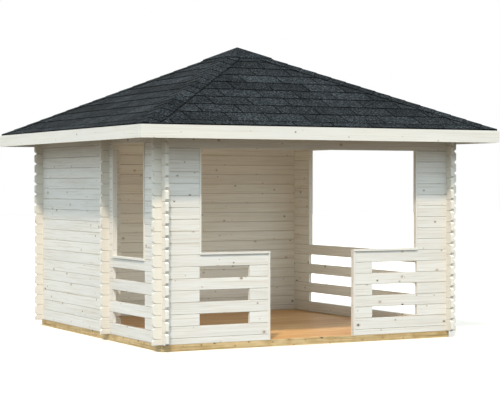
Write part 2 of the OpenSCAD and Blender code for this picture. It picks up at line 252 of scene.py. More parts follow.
def grain_lines(tree, place, base, streak, strength):
    """Latewood: flat-sawn streaks 10 to 25 mm wide from rings 2 to 4 mm apart, with the rings over them."""
    wide_place = add(tree, VECTOR_MATH, {0: place, 1: (1.3, 70.0, 70.0)}, operation="MULTIPLY")
    wide = add(tree, NOISE,
               {"Vector": wide_place, "Scale": 1.0, "Detail": 3.0, "Roughness": 0.62, "Distortion": 0.6})
    wide_share = add(tree, MAP_RANGE, {"Value": wide, "From Min": 0.5, "From Max": 0.72, "To Max": strength})
    ring_place = add(tree, VECTOR_MATH, {0: place, 1: (4.0, 330.0, 330.0)}, operation="MULTIPLY")
    rings = add(tree, NOISE, {"Vector": ring_place, "Scale": 1.0, "Detail": 2.0})
    ring_share = add(tree, MAP_RANGE,
                     {"Value": rings, "From Min": 0.42, "From Max": 0.75, "To Max": 0.7 * strength})
    share = add(tree, MATH, {0: wide_share, 1: ring_share}, operation="ADD", use_clamp=True)
    return add(tree, MIX, {"Factor": share, "A": base, "B": streak}, data_type="RGBA"), wide


def knots(tree, place, base, lines, colours, spacing, size):
    """Round knots 7 to 26 mm across, one to a cell: live ones brown with a dark rim, dead ones near black.

    The stain hides some of them more than others.
    """
    cell_place = add(tree, VECTOR_MATH, {0: place, 1: (1 / spacing, 1.25 / spacing, 0.0)},
                     operation="MULTIPLY")
    cells = add(tree, "ShaderNodeTexVoronoi", {"Vector": cell_place, "Scale": 1.0}, voronoi_dimensions="2D")
    chance = add(tree, "ShaderNodeSeparateColor", {0: cells.outputs["Color"]}).outputs
    spread = add(tree, MATH, {0: chance[0], 1: 2.4}, operation="POWER")
    smallest, largest = 0.0035, 0.0128
    radius = add(tree, MAP_RANGE,
                 {"Value": spread, "To Min": smallest * size / spacing, "To Max": largest * size / spacing})
    round_ratio = add(tree, MATH, {0: cells.outputs["Distance"], 1: radius}, operation="DIVIDE")
    wobble = add(tree, MATH, {0: lines, 1: 0.5}, operation="SUBTRACT")
    ratio = add(tree, MATH, {0: wobble, 1: 0.7, 2: round_ratio}, operation="MULTIPLY_ADD")
    veil = add(tree, MAP_RANGE, {"Value": chance[2], "To Min": 0.3, "To Max": 1.0})
    core = add(tree, MAP_RANGE, {"Value": ratio, "From Min": 1.15, "From Max": 0.9, "To Max": veil})
    ring = add(tree, MAP_RANGE, {"Value": ratio, "From Min": 2.8, "From Max": 1.0, "To Max": 0.35})
    from_rim = add(tree, MATH, {0: ratio, 1: 0.9, 2: 0.24}, operation="COMPARE")
    rim = add(tree, MATH, {0: from_rim, 1: 0.55}, operation="MULTIPLY")
    is_dead = add(tree, MATH, {0: chance[1], 1: 0.5}, operation="GREATER_THAN")
    darkness = add(tree, MATH, {0: rim, 1: is_dead}, operation="MAXIMUM")
    knot = add(tree, MIX, {"Factor": darkness, "A": colour4(colours.knot), "B": colour4(colours.dead_knot)},
               data_type="RGBA")
    ringed = add(tree, MIX, {"Factor": ring, "A": base, "B": colour4(colours.knot)}, data_type="RGBA")
    return add(tree, MIX, {"Factor": core, "A": ringed, "B": knot}, data_type="RGBA"), core


def log_ends(tree, axes, along, base, start, colour):
    """Log ends past the corner take the stain warmer, and the sawn end grain warmer still."""
    from_middle = add(tree, MATH, {0: axes[0]}, operation="ABSOLUTE")
    soft = 0.002
    past = add(tree, MAP_RANGE,
               {"Value": from_middle, "From Min": start - soft, "From Max": start + soft, "To Max": 0.7})
    warm = add(tree, MIX, {"Factor": past, "A": base, "B": colour}, data_type="RGBA")
    facing = add(tree, "ShaderNodeNewGeometry")
    normal = add(tree, SPLIT, {0: facing.outputs["Normal"]}).outputs
    squareness = add(tree, MATH, {0: normal[{"X": 0, "Y": 1, "Z": 2}[along]]}, operation="ABSOLUTE")
    is_end = add(tree, MAP_RANGE, {"Value": squareness, "From Min": 0.55, "From Max": 0.75})
    return add(tree, MIX, {"Factor": is_end, "A": warm, "B": colour}, data_type="RGBA")


def seam_dust_and_shade(tree, axes, base, seam, course, colour):
    """A thin dark line where two logs or boards meet, up to 3.5 mm to each side of the seam: dust and resin,
    with painted shade in the groove.
    """
    part = add(tree, MATH, {0: courses_up(tree, axes, seam, course)}, operation="FRACT")
    centred = add(tree, MATH, {0: part, 1: 0.5}, operation="SUBTRACT")
    from_centre = add(tree, MATH, {0: centred}, operation="ABSOLUTE")
    outer, inner = 0.0035, 0.0015
    share = add(tree, MAP_RANGE,
                {"Value": from_centre, "From Min": 0.5 - outer / course, "From Max": 0.5 - inner / course,
                 "To Max": 0.55})
    return add(tree, MIX, {"Factor": share, "A": base, "B": colour}, data_type="RGBA")


def timber(name, light, shade, colours, along="X", seam=0.0, course=10.0, ends_from=None, joint=None,
           grain=None, knot_spacing=0.27, knot_size=1.0, streaks=0.42, spread=0.4, patches=0.9,
           roughness=0.62, relief=0.0008):
    """Spruce under its finish: soft grain along each board or log, with small round knots."""
    material, tree, bsdf = new_material(name)
    place, axes, number = timber_place(tree, along, seam, course)
    base = board_tone(tree, place, number, light, shade, spread, patches)
    grained, lines = grain_lines(tree, place, base, colour4(grain or colours.streak), streaks)
    colour, core = knots(tree, place, grained, lines, colours, knot_spacing, knot_size)
    if ends_from is not None:
        colour = log_ends(tree, axes, along, colour, ends_from, colour4(colours.log_end))
    # Darker seams and joints: dust and dirt, together with painted shade in the grooves and gaps
    if joint is not None:
        colour = seam_dust_and_shade(tree, axes, colour, seam, course, colour4(joint))
    height = add(tree, MATH, {0: lines, 1: core}, operation="SUBTRACT")
    bump = add(tree, "ShaderNodeBump", {"Height": height, "Strength": 0.4, "Distance": relief})
    rough = add(tree, MAP_RANGE, {"Value": lines, "To Min": roughness - 0.08, "To Max": roughness + 0.1})
    wire(tree, bsdf, {"Base Color": colour, "Normal": bump, "Roughness": rough})
    return material


def cut_edges_and_shade(tree, base, half_width, edge, colour):
    """The sides and the butt of each tab darkened: the black felt at the cut, and painted shade in the slots
    and under the butts.
    """
    corner = add(tree, "ShaderNodeAttribute", attribute_name="piece_co")
    split = add(tree, SPLIT, {0: corner.outputs["Vector"]}).outputs
    side = add(tree, MATH, {0: split[0]}, operation="ABSOLUTE")
    to_side = add(tree, MATH, {0: half_width, 1: side}, operation="SUBTRACT")
    near_side = add(tree, MAP_RANGE, {"Value": to_side, "From Min": edge + 0.001, "From Max": edge})
    near_butt = add(tree, MAP_RANGE, {"Value": split[1], "From Min": 0.005, "From Max": 0.0035})
    nearest = add(tree, MATH, {0: near_side, 1: near_butt}, operation="MAXIMUM")
    near_edge = add(tree, MATH, {0: nearest, 1: 0.8}, operation="MULTIPLY")
    return add(tree, MIX, {"Factor": near_edge, "A": base, "B": colour}, data_type="RGBA")


def bitumen_shingle(name, colours, half_width=None, edge=0.004):
    """Mineral-surfaced bitumen shingle: matt charcoal granules, each tab a little lighter or darker.

    Real granules are 1 to 2 mm. They are drawn in clusters up to 16 mm across so that they show, and the
    black cut edges 4 mm wide, or 9 mm on the hips, for the same reason; these dark edges also paint the shade
    in the slots, under the butts and along the sides of the hip shingles. A half width says that the surface
    is made of separate tabs.
    """
    material, tree, bsdf = new_material(name)
    place = add(tree, "ShaderNodeTexCoord").outputs["Object"]
    spots = add(tree, NOISE, {"Vector": place, "Scale": 60.0, "Detail": 5.0, "Roughness": 0.75})
    cloud = add(tree, NOISE, {"Vector": place, "Scale": 2.2, "Detail": 4.0, "Roughness": 0.6})
    bright = add(tree, MAP_RANGE,
                 {"Value": cloud, "From Min": 0.35, "From Max": 0.68, "To Min": 0.54, "To Max": 0.475})
    speck = add(tree, MAP_RANGE, {"Value": spots, "From Min": bright, "From Max": 0.64})
    tinted = add(tree, MIX,
                 {"Factor": cloud, "A": colour4(colours.shingle), "B": colour4(colours.shingle_green)},
                 data_type="RGBA")
    granules = add(tree, MIX, {"Factor": speck, "A": tinted, "B": colour4(colours.shingle_light)},
                   data_type="RGBA")
    level = 1.0
    if half_width is not None:
        tone = add(tree, "ShaderNodeAttribute", attribute_name="tone")
        level = add(tree, MAP_RANGE, {"Value": tone.outputs["Fac"], "To Min": 0.72, "To Max": 1.28})
        granules = cut_edges_and_shade(tree, granules, half_width, edge, colour4(colours.felt))
    toned = add(tree, VECTOR_MATH, {0: granules, "Scale": level}, operation="SCALE")
    bump = add(tree, "ShaderNodeBump", {"Height": spots, "Strength": 0.6, "Distance": 0.0015})
    wire(tree, bsdf, {"Base Color": toned, "Normal": bump, "Roughness": 0.92, "Specular IOR Level": 0.04})
    return material


def bitumen_felt(name, colours):
    """Cut and sanded bitumen felt: near black, with a fine matt grit 2 to 3 mm apart."""
    material, tree, bsdf = new_material(name)
    place = add(tree, "ShaderNodeTexCoord").outputs["Object"]
    grit = add(tree, NOISE, {"Vector": place, "Scale": 400.0, "Detail": 2.0})
    mixed = add(tree, MIX, {"Factor": grit, "A": colour4(colours.felt), "B": colour4(colours.shingle)},
                data_type="RGBA")
    wire(tree, bsdf, {"Base Color": mixed, "Roughness": 0.95, "Specular IOR Level": 0.04})
    return material


def zinc_plate(name, colours):
    """Zinc-plated steel screw heads: dull grey metal, scuffed by the driver, so uneven in gloss."""
    material, tree, bsdf = new_material(name)
    place = add(tree, "ShaderNodeTexCoord").outputs["Object"]
    wear = add(tree, NOISE, {"Vector": place, "Scale": 500.0, "Detail": 2.0})
    rough = add(tree, MAP_RANGE, {"Value": wear, "To Min": 0.35, "To Max": 0.6})
    wire(tree, bsdf, {"Base Color": colour4(colours.zinc), "Metallic": 1.0, "Roughness": rough})
    return material


# ---- Meshes and node trees for what repeats ----

def slab_mesh(name, xs, ys, top, bottom):
    """A closed slab on a grid of xs by ys, whose faces lie at the heights top(x, y) and bottom(x, y)."""
    across, along = len(xs), len(ys)
    layer = across * along
    points = [(x, y, top(x, y)) for y in ys for x in xs] + [(x, y, bottom(x, y)) for y in ys for x in xs]
    faces = []
    for j in range(along - 1):
        for i in range(across - 1):
            a = j * across + i
            corner = (a, a + 1, a + across + 1, a + across)
            faces.append(corner)
            faces.append(tuple(layer + k for k in reversed(corner)))
    rim = [*range(across)]
    rim += [(j + 1) * across - 1 for j in range(1, along)]
    rim += [layer - 1 - i for i in range(1, across)]
    rim += [(along - 1 - j) * across for j in range(1, along - 1)]
    faces.extend((b, a, layer + a, layer + b) for a, b in zip(rim, rim[1:] + rim[:1]))
    mesh = bpy.data.meshes.new(name)
    mesh.from_pydata(points, [], faces)
    mesh.update()
    return mesh


FLOAT = "NodeSocketFloat"
INT = "NodeSocketInt"
MATERIAL = "NodeSocketMaterial"
LAY_INPUTS = {
    "Columns": (INT, 1),
    "Rows": (INT, 1),
    "Row Pitch": (FLOAT, 0.1),
    "Run": (FLOAT, 10.0),
    **dict.fromkeys(("Column Pitch", "First Column", "First Row", "Even Row Shift", "Half Width", "Taper",
                     "Slope", "Fold", "Start", "Height"), (FLOAT, 0.0)),
    "Seed": (INT, 0),
    "Material": (MATERIAL, None),
}


def new_tree(name, sockets):
    """An empty geometry tree with its inputs, and its two ends."""
    tree = bpy.data.node_groups.new(name, "GeometryNodeTree")
    tree.interface.new_socket("Geometry", in_out="INPUT", socket_type="NodeSocketGeometry")
    for label, (kind, default) in sockets.items():
        socket = tree.interface.new_socket(label, in_out="INPUT", socket_type=kind)
        if default is not None:
            socket.default_value = default
    tree.interface.new_socket("Geometry", in_out="OUTPUT", socket_type="NodeSocketGeometry")
    return tree, add(tree, "NodeGroupInput").outputs


def row_points(tree, given):
    """A point for each piece, in rows, without those whose piece would lie wholly past a hip."""
    index = add(tree, "GeometryNodeInputIndex")
    ratio = add(tree, MATH, {0: index, 1: given["Columns"]}, operation="DIVIDE")
    row = add(tree, MATH, {0: ratio}, operation="FLOOR")
    column = add(tree, MATH, {0: index, 1: given["Columns"]}, operation="MODULO")
    last = add(tree, MATH, {0: given["Columns"], 1: 1.0}, operation="SUBTRACT")
    middle = add(tree, MATH, {0: last, 1: 0.5}, operation="MULTIPLY")
    from_middle = add(tree, MATH, {0: column, 1: middle}, operation="SUBTRACT")
    even_x = add(tree, MATH, {0: from_middle, 1: given["Column Pitch"], 2: given["First Column"]},
                 operation="MULTIPLY_ADD")
    is_odd = add(tree, MATH, {0: row, 1: 2.0}, operation="MODULO")
    is_even = add(tree, MATH, {0: 1.0, 1: is_odd}, operation="SUBTRACT")
    x = add(tree, MATH, {0: is_even, 1: given["Even Row Shift"], 2: even_x}, operation="MULTIPLY_ADD")
    row_y = add(tree, MATH, {0: row, 1: given["Row Pitch"], 2: given["First Row"]}, operation="MULTIPLY_ADD")
    y = add(tree, MATH, {0: row_y, 1: 0.0}, operation="MAXIMUM")
    place = add(tree, "ShaderNodeCombineXYZ", {0: x, 1: y})
    total = add(tree, MATH, {0: given["Rows"], 1: given["Columns"]}, operation="MULTIPLY")
    points = add(tree, "GeometryNodePoints", {"Count": total, "Position": place})

    at = add(tree, SPLIT, {0: add(tree, "GeometryNodeInputPosition")})
    off_middle = add(tree, MATH, {0: at.outputs[0]}, operation="ABSOLUTE")
    near_side = add(tree, MATH, {0: off_middle, 1: given["Half Width"]}, operation="SUBTRACT")
    narrowed = add(tree, MATH, {0: given["Taper"], 1: at.outputs[1]}, operation="MULTIPLY")
    reach = add(tree, MATH, {0: given["Run"], 1: narrowed}, operation="SUBTRACT")
    outside = add(tree, MATH, {0: near_side, 1: reach}, operation="GREATER_THAN")
    return add(tree, "GeometryNodeDeleteGeometry", {"Geometry": points, "Selection": outside}, domain="POINT")


def slope_position(tree, given):
    """The place of a corner on the slope, from its place in the laid rows."""
    corner = add(tree, SPLIT, {0: add(tree, "GeometryNodeInputPosition")})
    rise = add(tree, MATH, {0: corner.outputs[1], 1: given["Slope"], 2: corner.outputs[2]},
               operation="MULTIPLY_ADD")
    width = add(tree, MATH, {0: corner.outputs[0]}, operation="ABSOLUTE")
    drop = add(tree, MATH, {0: width, 1: given["Fold"]}, operation="MULTIPLY")
    net = add(tree, MATH, {0: rise, 1: drop}, operation="SUBTRACT")
    level = add(tree, MATH, {0: net, 1: given["Height"]}, operation="ADD")
    away = add(tree, MATH, {0: corner.outputs[1], 1: given["Start"]}, operation="ADD")
    return add(tree, "ShaderNodeCombineXYZ", {0: corner.outputs[0], 1: away, 2: level})


def laying_tree():
    """Lays copies of one piece in rows up a slope and lifts them to the slope.

    A piece is drawn with X along the eave, Y up the slope in plan and Z plumb above the boards. At a
    distance y from the eave a row reaches Run - Taper * y to each side. Slope lifts it by y, and Fold drops
    it by |x|. "piece_co" keeps a corner's place in its own piece, and "tone" is a chance for each piece.
    """
    tree, given = new_tree("lay_in_rows", LAY_INPUTS)
    points = row_points(tree, given)
    corner = add(tree, "GeometryNodeInputPosition")
    piece = add(tree, "GeometryNodeStoreNamedAttribute",
                {"Geometry": given["Geometry"], "Name": "piece_co", "Value": corner},
                data_type="FLOAT_VECTOR", domain="POINT")
    copies = add(tree, "GeometryNodeInstanceOnPoints", {"Points": points, "Instance": piece})
    chance = add(tree, "FunctionNodeRandomValue", {"Seed": given["Seed"]}, data_type="FLOAT")
    toned = add(tree, "GeometryNodeStoreNamedAttribute",
                {"Geometry": copies, "Name": "tone", "Value": chance}, data_type="FLOAT", domain="INSTANCE")
    solid = add(tree, "GeometryNodeRealizeInstances", {0: toned})
    lifted = add(tree, "GeometryNodeSetPosition",
                 {"Geometry": solid, "Position": slope_position(tree, given)})
    finished = add(tree, "GeometryNodeSetMaterial", {"Geometry": lifted, "Material": given["Material"]})
    add(tree, "NodeGroupOutput", {0: finished})
    return tree


def screw_tree():
    """Sets a low conical screw head on each point, turned to face the way its "facing" attribute says."""
    tree, given = new_tree("screw_heads", {
        "Diameter": (FLOAT, 0.009),
        "Height": (FLOAT, 0.0015),
        "Material": (MATERIAL, None),
    })
    radius = add(tree, MATH, {0: given["Diameter"], 1: 0.5}, operation="MULTIPLY")
    top = add(tree, MATH, {0: radius, 1: 0.7}, operation="MULTIPLY")
    head = add(tree, "GeometryNodeMeshCone",
               {"Vertices": 12, "Radius Top": top, "Radius Bottom": radius, "Depth": given["Height"]})
    points = add(tree, "GeometryNodeMeshToPoints", {0: given["Geometry"]})
    facing = add(tree, "GeometryNodeInputNamedAttribute", {"Name": "facing"}, data_type="FLOAT_VECTOR")
    turn = add(tree, "FunctionNodeAlignRotationToVector", {"Vector": facing}, axis="Z")
    copies = add(tree, "GeometryNodeInstanceOnPoints", {"Points": points, "Instance": head, "Rotation": turn})
    solid = add(tree, "GeometryNodeRealizeInstances", {0: copies})
    finished = add(tree, "GeometryNodeSetMaterial", {"Geometry": solid, "Material": given["Material"]})
    add(tree, "NodeGroupOutput", {0: finished})
    return tree


TREES = {"lay_in_rows": laying_tree, "screw_heads": screw_tree}


def slope_edges(run, taper, start, depth):
    """The upright planes round a slope, as (point, way out): its two hips and the end of its depth."""
    return [((run, start, 0), (1, taper, 0)),
            ((-run, start, 0), (-1, taper, 0)),
            ((0, start + depth, 0), (0, 1, 0))]


def cut_off(mesh, planes):
    """Cuts off what lies past each plane and closes the cut. A corner within the snap lies on the plane."""
    snap = 0.0001
    shape = bmesh.new()
    shape.from_mesh(mesh)
    for point, way_out in planes:
        everything = shape.verts[:] + shape.edges[:] + shape.faces[:]
        bmesh.ops.bisect_plane(shape, geom=everything, dist=snap, plane_co=point, plane_no=way_out,
                               clear_outer=True)
        open_edges = [edge for edge in shape.edges if len(edge.link_faces) == 1]
        bmesh.ops.holes_fill(shape, edges=open_edges)
        loose = [vert for vert in shape.verts if not vert.link_faces]
        bmesh.ops.delete(shape, geom=loose, context="VERTS")
    shape.to_mesh(mesh)
    shape.free()


def new_object(name, data):
    """A new object, linked to the scene."""
    made = bpy.data.objects.new(name, data)
    bpy.context.scene.collection.objects.link(made)
    return made


def grow(name, mesh, tree_name, values, planes=(), turn=0.0):
    """Runs a node tree on a mesh, cuts the result off at planes and turns it about Z, as a plain mesh."""
    tree = bpy.data.node_groups.get(tree_name) or TREES[tree_name]()
    source = new_object(name + "_source", mesh)
    modifier = source.modifiers.new("repeat", "NODES")
    modifier.node_group = tree
    for item in tree.interface.items_tree:
        if item.in_out == "INPUT" and item.name in values:
            modifier[item.identifier] = values[item.name]
    result = bpy.data.meshes.new_from_object(source.evaluated_get(bpy.context.evaluated_depsgraph_get()))
    source.modifiers.remove(modifier)
    bpy.data.objects.remove(source)
    cut_off(result, planes)
    result.materials.clear()
    result.materials.append(values["Material"])
    result.transform(Matrix.Rotation(turn, 4, "Z"))
    result.name = name
    return new_object(name, result)


def finish_nodes(material, *nodes):
    """Gives a material to CAD nodes that keep their own shape."""
    for name in nodes:
        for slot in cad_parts[name].material_slots:
            slot.material = material


def finish_timber(name, shared, across=(), deep=(), upright=()):
    """Gives CAD nodes one kind of timber, with its grain running across, deep or upright in them."""
    for along, way, nodes in (("X", "_across", across), ("Y", "_deep", deep), ("Z", "_upright", upright)):
        if nodes:
            finish_nodes(timber(name + way, along=along, **shared), *nodes)


# ---- Operators: one for each group of pieces ----

class GAZEBO_OT_log_walls(Operator):
    """Gives the stacked logs their pale translucent stain"""

    bl_idname = "gazebo.log_walls"
    bl_label = "Log walls"

    def execute(self, context):
        colours = context.scene.gazebo_colours
        # A thin stain: nearly white, with the knots and a little grain showing through
        shared = {"light": colours.stain, "shade": colours.stain_shade, "colours": colours,
                  "course": LOG_COURSE, "joint": colours.seam}
        across = timber("stained_spruce_logs_across", along="X", seam=FRONT_SEAM, ends_from=WALL_X, **shared)
        deep = timber("stained_spruce_logs_deep", along="Y", seam=SIDE_SEAM, ends_from=WALL_Y, **shared)
        finish_nodes(across, "front_bottom_logs", "front_left_pier", "front_right_pier", "front_rails",
                     "front_spacers", "front_top_logs", "back_wall", "stiffener_wall")
        finish_nodes(deep, "left_rear_wall", "left_front_pier", "left_rails", "left_top_logs",
                     "right_rear_pier", "right_front_pier", "right_rails", "right_top_logs")
        return {"FINISHED"}


class GAZEBO_OT_trim(Operator):
    """Gives the fascia boards and the boards round the openings their stain"""

    bl_idname = "gazebo.trim"
    bl_label = "Trim boards"

    def execute(self, context):
        colours = context.scene.gazebo_colours
        # Planed and stained boards: calmer grain and fewer, smaller knots than in the logs
        shared = {"light": colours.trim, "shade": colours.stain_shade, "colours": colours,
                  "knot_spacing": 0.34, "knot_size": 0.7, "streaks": 0.25}
        finish_timber("stained_spruce_board", shared,
                      across=("fascia_front", "fascia_back", "railing_caps"),
                      deep=("fascia_left", "fascia_right", "side_sills"),
                      upright=("front_jambs", "side_jambs", "railing_end_boards"))
        return {"FINISHED"}


class GAZEBO_OT_base(Operator):
    """Gives the bearers and joists the look of treated sawn timber"""

    bl_idname = "gazebo.base"
    bl_label = "Bearers and joists"

    def execute(self, context):
        colours = context.scene.gazebo_colours
        # Pressure treated and sawn: rough and matt, patchy, with greenish brown grain
        shared = {"light": colours.bearer, "shade": colours.bearer_shade, "colours": colours,
                  "grain": colours.bearer_grain, "knot_spacing": 0.13, "knot_size": 1.4, "streaks": 0.7,
                  "spread": 0.5, "patches": 7.0, "roughness": 0.8, "relief": 0.0015}
        finish_timber("treated_spruce", shared, across=("front_and_back_bearers",),
                      deep=("side_bearers", "floor_joists"))
        return {"FINISHED"}


class GAZEBO_OT_floor(Operator):
    """Lays the floor in separate boards with open joints"""

    bl_idname = "gazebo.floor"
    bl_label = "Floor boards"

    def execute(self, context):
        sizes, colours = context.scene.gazebo_sizes, context.scene.gazebo_colours
        low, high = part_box("floor")
        half = (high.x - low.x) / 2
        count = round((high.y - low.y) / sizes.floor_board)
        pitch = (high.y - low.y) / count
        edge = sizes.floor_gap / 2
        ys = (edge, edge + sizes.chamfer, pitch - edge - sizes.chamfer, pitch - edge)

        def top(x, y):
            return 0.0 if ys[1] <= y <= ys[2] else -sizes.chamfer

        mesh = slab_mesh("floor_board", (-half, half), ys, top, lambda x, y: low.z - high.z)
        # Oil: warm and deep, with boards unlike each other, and a low sheen
        # The joint colour along each board's edges is dirt together with painted shade in the gaps
        oiled = timber("oiled_spruce_floor", colours.floor, colours.floor_shade, colours, along="board",
                       course=pitch, joint=colours.floor_joint, grain=colours.floor_grain, knot_spacing=0.22,
                       streaks=0.6, spread=0.8, patches=2.0, roughness=0.45)
        piece = grow("floor_boards", mesh, "lay_in_rows", {
            "Rows": count, "Row Pitch": pitch, "Run": half, "Start": low.y, "Height": high.z, "Seed": 3,
            "Material": oiled})
        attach(piece, "root")
        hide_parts("floor")
        return {"FINISHED"}


class GAZEBO_OT_roof_frame(Operator):
    """Gives the rafters and the apex block the look of bare planed timber"""

    bl_idname = "gazebo.roof_frame"
    bl_label = "Roof frame"

    def execute(self, context):
        colours = context.scene.gazebo_colours
        # Planed and unfinished: warm and matt
        shared = {"light": colours.bare, "shade": colours.bare_shade, "colours": colours,
                  "knot_spacing": 0.3, "streaks": 0.4}
        finish_timber("bare_spruce", shared, across=("rafters_left", "rafters_right"),
                      deep=("rafters_front", "rafters_back", "hip_rafters"), upright=("apex_block",))
        return {"FINISHED"}


def slope_layout(side, seed, material):
    """What each layer on a slope needs: its plan depth up to the ridge, node inputs, edges and turn."""
    run, start = HALF_X, HALF_Y
    if side in ("left", "right"):
        run, start = start, run
    depth = min(run, start)
    values = {"Run": run, "Taper": 1.0, "Slope": SLOPE, "Start": -start,
              "Height": EAVE_Z, "Seed": seed, "Material": material}
    return depth, values, slope_edges(run, 1.0, -start, depth), SIDES.index(side) * math.pi / 2


class GAZEBO_OT_roof_boards(Operator):
    """Boards each roof slope in tongued and grooved boards, mitred at the hips"""

    bl_idname = "gazebo.roof_boards"
    bl_label = "Roof boards"

    def execute(self, context):
        sizes, colours = context.scene.gazebo_sizes, context.scene.gazebo_colours
        bare = timber("bare_spruce_roof_boards", colours.bare, colours.bare_shade, colours, along="board",
                      knot_spacing=0.28, streaks=0.4)
        pitch = sizes.roof_board * LEAN
        edge = sizes.joint / 2
        gap_to_felt = 0.0005
        ys = (edge, edge + sizes.chamfer, pitch - edge - sizes.chamfer, pitch - edge)

        def underside(x, y):
            return -BOARDS_DEPTH + (0.0 if ys[1] <= y <= ys[2] else sizes.chamfer)

        for number, side in enumerate(SIDES):
            depth, values, edges, turn = slope_layout(side, number, bare)
            run = values["Run"]
            mesh = slab_mesh("roof_board", (-run, run), ys, lambda x, y: -gap_to_felt, underside)
            values.update({"Rows": math.ceil(depth / pitch), "Row Pitch": pitch})
            piece = grow("boards_" + side, mesh, "lay_in_rows", values, edges, turn)
            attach(piece, "root")
            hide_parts("roof_boards_" + side)
        return {"FINISHED"}


def spaced(low, high, parts):
    """Evenly spaced values from low to high, with both ends."""
    return [low + (high - low) * i / parts for i in range(parts + 1)]


class GAZEBO_OT_shingles(Operator):
    """Covers each slope with felt and with courses of slotted bitumen shingles"""

    bl_idname = "gazebo.shingles"
    bl_label = "Shingles"

    def execute(self, context):
        sizes, colours = context.scene.gazebo_sizes, context.scene.gazebo_colours
        felt = bitumen_felt("bitumen_felt", colours)
        half_tab = (sizes.tab_width - sizes.tab_slot) / 2
        covering = bitumen_shingle("charcoal_bitumen_shingle", colours, half_tab)
        for number, side in enumerate(SIDES):
            seed = 11 + number
            self.underlay(sizes, side, *slope_layout(side, seed, felt))
            self.courses(sizes, side, half_tab, *slope_layout(side, seed, covering))
        finish_nodes(bitumen_shingle("charcoal_bitumen_cap", colours), "apex_cap")
        return {"FINISHED"}

    def underlay(self, sizes, side, depth, values, edges, turn):
        """Felt and drip edge over the whole of a slope."""
        run = values["Run"]
        felt_v = sizes.felt / LEAN
        sheet = slab_mesh("felt", (-run, run), (0, depth), lambda x, y: felt_v, lambda x, y: 0.0)
        underlay = grow("felt_" + side, sheet, "lay_in_rows", values, edges, turn)
        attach(underlay, "root")
        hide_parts("shingles_" + side)

    def courses(self, sizes, side, half_tab, depth, values, edges, turn):
        """Courses of tabs up a slope, every other one shifted by half a tab, each lapped by the next.

        A tab tapers from its butt to a thin share of itself, and its underside is sunk in the felt.
        """
        lap = 0.02
        first_slot = 0.053
        thinnest_share = 0.04
        sunk_share = 0.9
        felt_v = sizes.felt / LEAN
        tab_v = sizes.tab_thickness / LEAN
        exposure = sizes.tab_exposure * LEAN
        first = (sizes.tab_first - sizes.tab_exposure) * LEAN

        def tab_top(x, y):
            return felt_v + tab_v * max(thinnest_share, 1 - y / exposure)

        tab = slab_mesh("tab", spaced(-half_tab, half_tab, 10), spaced(0, exposure + lap, 4),
                        tab_top, lambda x, y: felt_v * sunk_share)
        courses = grow("shingle_courses_" + side, tab, "lay_in_rows", {
            **values, "Columns": 2 * math.ceil(values["Run"] / sizes.tab_width) + 1,
            "Column Pitch": sizes.tab_width, "First Column": first_slot,
            "Even Row Shift": sizes.tab_width / 2, "Half Width": half_tab,
            "Rows": math.ceil((depth - first) / exposure), "Row Pitch": exposure,
            "First Row": first}, edges, turn)
        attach(courses, "root")
        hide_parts("shingles_" + side)


def hip_shingle(half, exposure, underside):
    """A shingle that steps up at its butt from the one below, and runs on under the one above."""
    lap = 0.03
    step = 0.0045

    def top(x, y):
        return SHINGLES_DEPTH + step * (1.1 - min(y / exposure, 1.0))

    return slab_mesh("hip_shingle", spaced(-half, half, 4), spaced(0, exposure + lap, 4),
                     top, lambda x, y: underside)


class GAZEBO_OT_hip_caps(Operator):
    """Folds lapped shingles over the four hips"""

    bl_idname = "gazebo.hip_caps"
    bl_label = "Hip shingles"

    def execute(self, context):
        sizes, colours = context.scene.gazebo_sizes, context.scene.gazebo_colours
        fold = SLOPE / math.sqrt(2)
        lean = math.cos(math.atan(fold))
        exposure = sizes.hip_exposure * lean
        half = sizes.hip_width / 2
        # The 9 mm dark edges on the hip shingles are partly painted shade along their sides
        covering = bitumen_shingle("charcoal_bitumen_hip", colours, half, edge=0.009)
        run = min(HALF_X, HALF_Y)
        reach = run * math.sqrt(2)
        cap_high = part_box("apex_cap")[1]
        share_under_cap = 0.75
        covered = min(cap_high.x, cap_high.y) * share_under_cap * math.sqrt(2)
        mesh = hip_shingle(half, exposure, sizes.felt)
        ridge_x = HALF_X - run
        ridge_y = HALF_Y - run
        for number, name in enumerate(("front_right", "back_right", "back_left", "front_left")):
            angle = math.pi / 4 + number * math.pi / 2
            piece = grow("hip_shingles_" + name, mesh.copy(), "lay_in_rows", {
                "Rows": math.ceil((reach - covered) / exposure), "Row Pitch": exposure, "Run": 0.0,
                "Taper": -1.0, "Slope": fold, "Fold": fold, "Start": -reach, "Height": EAVE_Z,
                "Seed": 40 + number, "Half Width": half, "Material": covering},
                slope_edges(0.0, -1.0, -reach, reach - covered), angle)
            sign_x = 1 if "right" in name else -1
            sign_y = 1 if "back" in name else -1
            piece.data.transform(Matrix.Translation((sign_x * ridge_x, sign_y * ridge_y, 0)))
            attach(piece, "root")
            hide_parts("hip_caps")
        return {"FINISHED"}


SCREW_INSET = 0.06
SILL_INSET = 0.08


def screw_points():
    """Screws through the boards round the openings, as (place, way it faces)."""
    jamb_low, jamb_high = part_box("front_jambs")
    end_low, end_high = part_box("railing_end_boards")
    cap_low, cap_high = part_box("railing_caps")
    boards = ((jamb_low, jamb_high, jamb_high.x - JAMB_THICKNESS),
              (end_low, end_high, end_high.x - RAILING_BOARD_THICKNESS))
    points = []
    for side in (-1, 1):
        for low, high, face in boards:
            for z in spaced(low.z + SCREW_INSET, high.z - SCREW_INSET, 3):
                points.append(((side * face, (low.y + high.y) / 2, z), (-side, 0, 0)))
        for x in spaced(end_high.x + SCREW_INSET, cap_high.x - SCREW_INSET, 2):
            points.append(((side * x, (cap_low.y + cap_high.y) / 2, cap_high.z), (0, 0, 1)))
    points.extend(side_screw_points())
    return points


